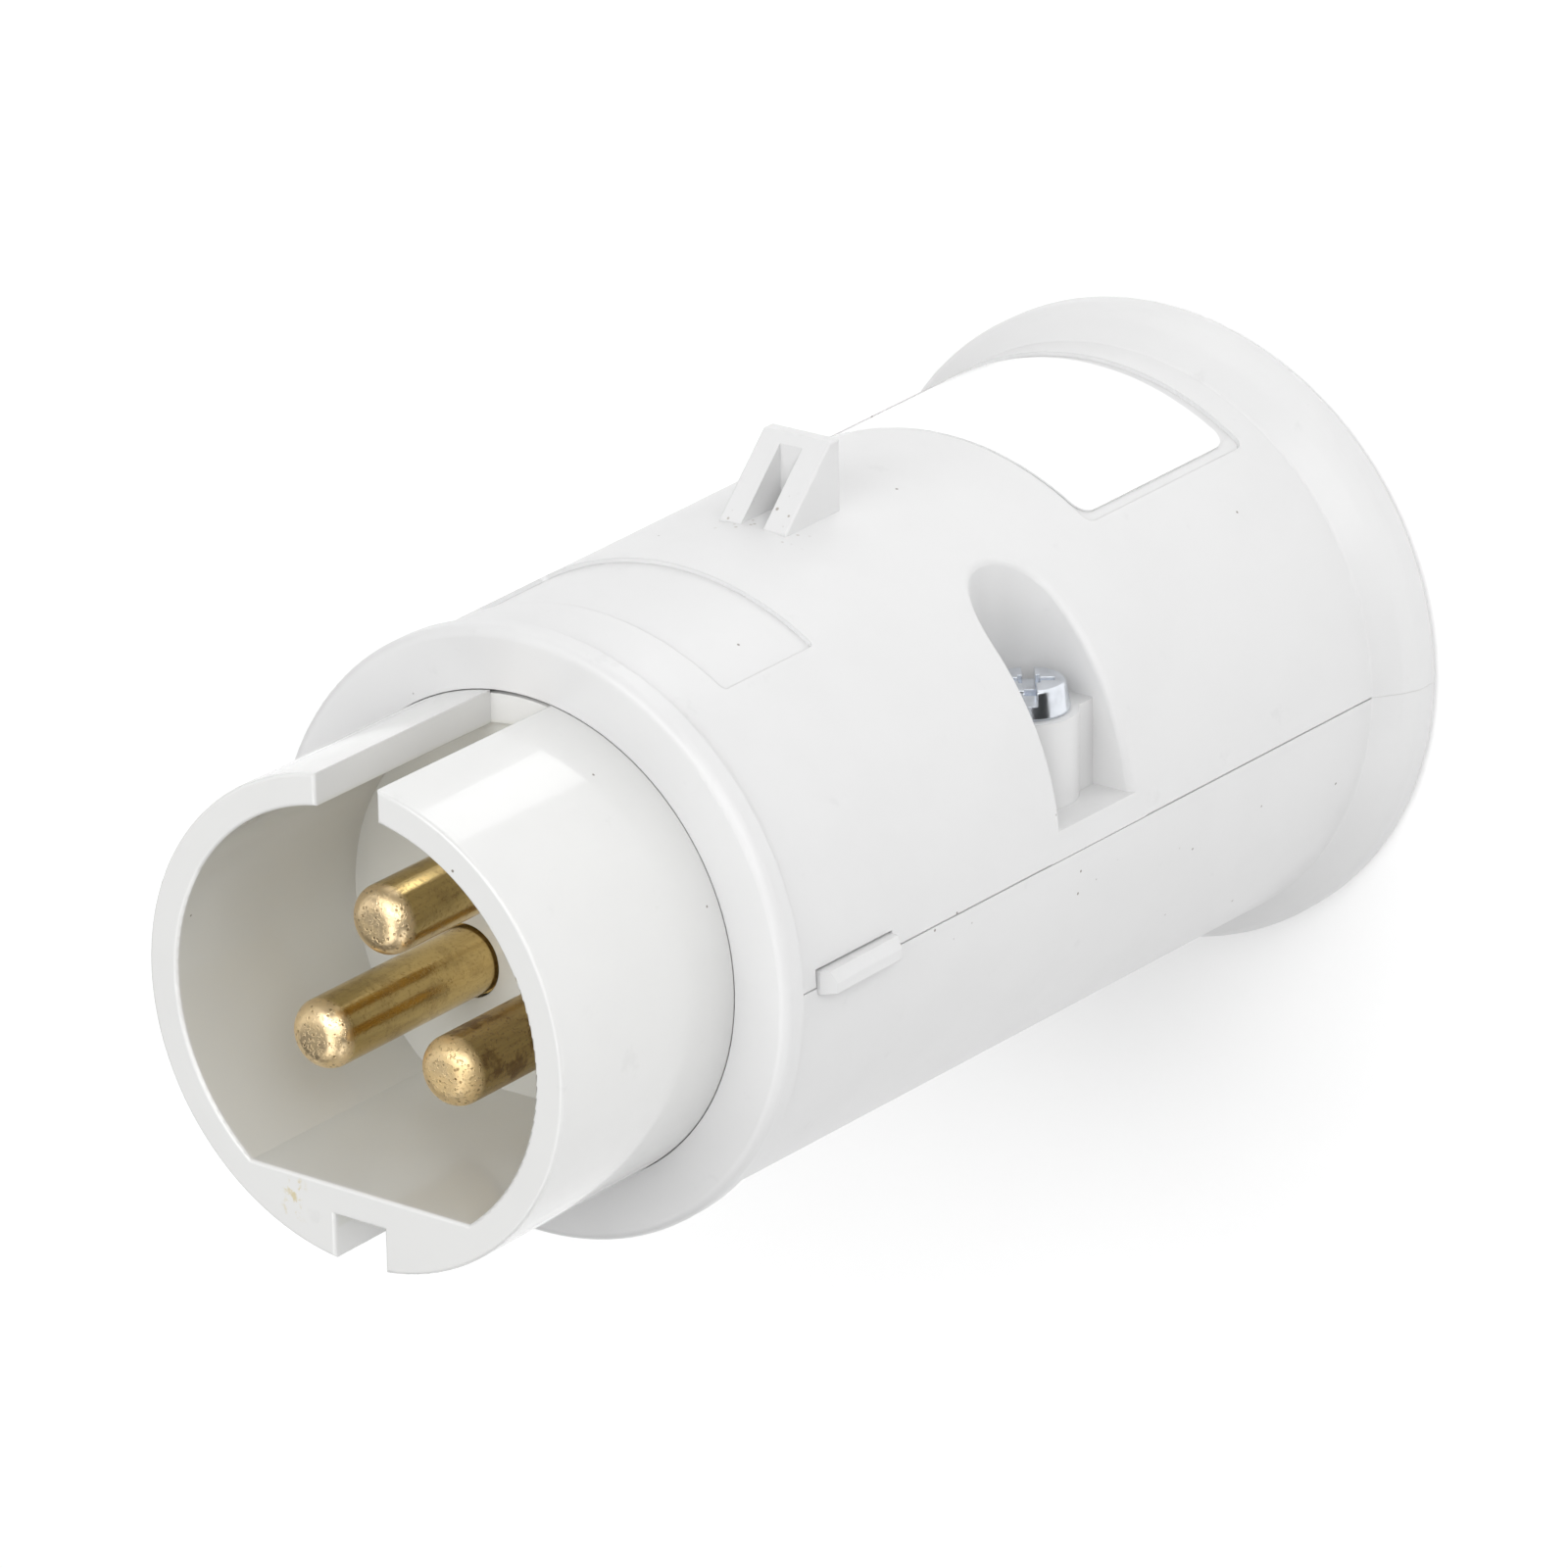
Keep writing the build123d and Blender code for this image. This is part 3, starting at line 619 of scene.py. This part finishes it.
class PLUG_OT_body(bpy.types.Operator):
    """Finish the two shells and the front ring"""

    bl_idname = "plug.body"
    bl_label = "Body"

    def execute(self, context):
        colours = context.scene.plug_colours
        finish = plastic("Body plastic", colours.body, colours, body_dirt, colours.grime, roughness=0.27)
        for node in ("upper_shell", "lower_shell", "front_ring"):
            cover(node, finish)
        return {"FINISHED"}


class PLUG_OT_shroud(bpy.types.Operator):
    """Finish the shroud with the contact carrier"""

    bl_idname = "plug.shroud"
    bl_label = "Shroud"

    def execute(self, context):
        colours = context.scene.plug_colours
        finish = plastic(
            "Shroud plastic",
            colours.shroud,
            colours,
            shroud_dirt,
            colours.stain,
            roughness=0.16,
            coat=0.6,
            # The bore's colour is painted shade inside the shroud
            inner=colours.inner,
        )
        cover("shroud_carrier", finish)
        return {"FINISHED"}


class PLUG_OT_label(bpy.types.Operator):
    """Finish the blank label"""

    bl_idname = "plug.label"
    bl_label = "Label"

    def execute(self, context):
        colours = context.scene.plug_colours
        film = simple("Label film", colours.label, roughness=0.16, grain=0.004, coat=0.4)
        cover("rating_label", film)
        return {"FINISHED"}


class PLUG_OT_inside(bpy.types.Operator):
    """Finish the pieces inside the body: seal, retainer, cord clamp, grommet and their screws"""

    bl_idname = "plug.inside"
    bl_label = "Inside"

    def execute(self, context):
        colours = context.scene.plug_colours
        rubber = simple("Black rubber", colours.rubber, roughness=0.6, grain=0.03)
        clamp = simple("Clamp plastic", colours.clamp, roughness=0.42)
        steel = metal("Inner screw steel", colours.steel, roughness=0.3)
        for finish, nodes in (
            (rubber, ("carrier_seal", "cord_grommet")),
            (clamp, ("pin_retainer", "cord_clamp")),
            (steel, ("retainer_screw_left", "retainer_screw_right")),
            (steel, ("cord_clamp_screw_left", "cord_clamp_screw_right")),
        ):
            for node in nodes:
                cover(node, finish)
        return {"FINISHED"}


def area_light(name, place, aim, width, height, power):
    """Rectangular soft light that looks at a point and that the camera doesn't see."""
    light = bpy.data.lights.new(name, "AREA")
    light.shape = "RECTANGLE"
    light.size = width
    light.size_y = height
    light.energy = power
    lamp = bpy.data.objects.new(name, light)
    lamp.location = place
    lamp.rotation_euler = (Vector(aim) - Vector(place)).to_track_quat("-Z", "Y").to_euler()
    lamp.visible_camera = False
    bpy.context.scene.collection.objects.link(lamp)


def floor_under(reach, colours, glow):
    """Plain pale floor with faint clouds, which gives off a little light."""
    shape = bmesh.new()
    bmesh.ops.create_grid(shape, x_segments=8, y_segments=8, size=reach)
    floor = solid("Floor", shape)
    paint = Finish("Floor paint", 0.7)
    paint.set("Base Color", paint.mixed(paint.noise(80.0), colours.floor, colours.floor_clouds))
    paint.set("Emission Color", colours.floor_glow)
    paint.set("Emission Strength", glow)
    floor.data.materials.append(paint.material)
    return floor


def camera_towards(aim, stage):
    """Camera that looks at a point from the distance and the angles of the stage."""
    back = Vector(
        (
            -sin(stage.azimuth) * cos(stage.elevation),
            -cos(stage.azimuth) * cos(stage.elevation),
            sin(stage.elevation),
        )
    )
    level = (-back).cross(Vector((0, 0, 1))).normalized()
    upright = level.cross(-back)
    right = level * cos(stage.roll) + upright * sin(stage.roll)
    turn = Matrix((right, back.cross(right), back)).transposed()
    view = bpy.data.cameras.new("Camera")
    view.sensor_fit = "HORIZONTAL"
    view.sensor_width = SENSOR
    view.lens = stage.lens
    view.clip_start = 0.05
    view.clip_end = 20.0
    camera = bpy.data.objects.new("Camera", view)
    camera.matrix_world = Matrix.Translation(aim + back * stage.distance) @ turn.to_4x4()
    bpy.context.scene.collection.objects.link(camera)
    return camera


def sky(colour_of_sky, strength):
    """Even light from all around."""
    world = bpy.data.worlds.new("Studio")
    world.use_nodes = True
    inputs = world.node_tree.nodes["Background"].inputs
    inputs["Color"].default_value = (*colour_of_sky, 1.0)
    inputs["Strength"].default_value = strength
    return world


class PLUG_OT_stage(bpy.types.Operator):
    """Make the floor, the lights and the camera"""

    bl_idname = "plug.stage"
    bl_label = "Stage"

    def execute(self, context):
        scene = context.scene
        stage = scene.plug_stage
        colours = scene.plug_colours
        floor = floor_under(stage.floor_reach, colours, stage.floor_light)
        aim = Vector((stage.aim_x, stage.aim_y, stage.aim_z))
        scene.camera = camera_towards(aim, stage)
        side = stage.light_size
        for name, place, power in LIGHTS:
            area_light(name, place, aim, side, side, power * stage.brightness)
        area_light(
            "Shroud light",
            place=(0.0015, -0.106, 0.012),
            aim=(0, 0, 0.105),
            width=0.040,
            height=0.021,
            power=0.0035 * stage.brightness,
        )
        scene.world = sky(colours.sky, stage.sky_light * stage.brightness)
        scene.view_settings.view_transform = "Standard"
        return {"FINISHED"}


class PLUG_PT_sidebar(bpy.types.Panel):
    """Lists the plug's operators, sizes and colours"""

    bl_label = "Industrial plug"
    bl_idname = "PLUG_PT_sidebar"
    bl_space_type = "VIEW_3D"
    bl_region_type = "UI"
    bl_category = "Plug"

    def draw(self, context):
        column = self.layout.column()
        for operator in OPERATORS:
            column.operator(operator.bl_idname)
        scene = context.scene
        for group in (scene.plug_sizes, scene.plug_colours, scene.plug_stage):
            for name in group.bl_rna.properties.keys():
                if name not in ("rna_type", "name"):
                    column.prop(group, name)


OPERATORS = (
    PLUG_OT_body,
    PLUG_OT_shroud,
    PLUG_OT_contacts,
    PLUG_OT_housing_screws,
    PLUG_OT_label,
    PLUG_OT_inside,
    PLUG_OT_stage,
)
CLASSES = (PlugColours, PlugSizes, PlugStage, *OPERATORS, PLUG_PT_sidebar)


def register():
    """Add the plug's classes and settings to Blender."""
    for made in CLASSES:
        bpy.utils.register_class(made)
    bpy.types.Scene.plug_colours = bpy.props.PointerProperty(type=PlugColours)
    bpy.types.Scene.plug_sizes = bpy.props.PointerProperty(type=PlugSizes)
    bpy.types.Scene.plug_stage = bpy.props.PointerProperty(type=PlugStage)


def unregister():
    """Take the plug's settings and classes away again."""
    del bpy.types.Scene.plug_stage
    del bpy.types.Scene.plug_sizes
    del bpy.types.Scene.plug_colours
    for made in reversed(CLASSES):
        bpy.utils.unregister_class(made)


def main():
    """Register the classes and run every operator."""
    register()
    bpy.ops.plug.body()
    bpy.ops.plug.shroud()
    bpy.ops.plug.contacts()
    bpy.ops.plug.housing_screws()
    bpy.ops.plug.label()
    bpy.ops.plug.inside()
    bpy.ops.plug.stage()


if __name__ == "__main__":
    main()
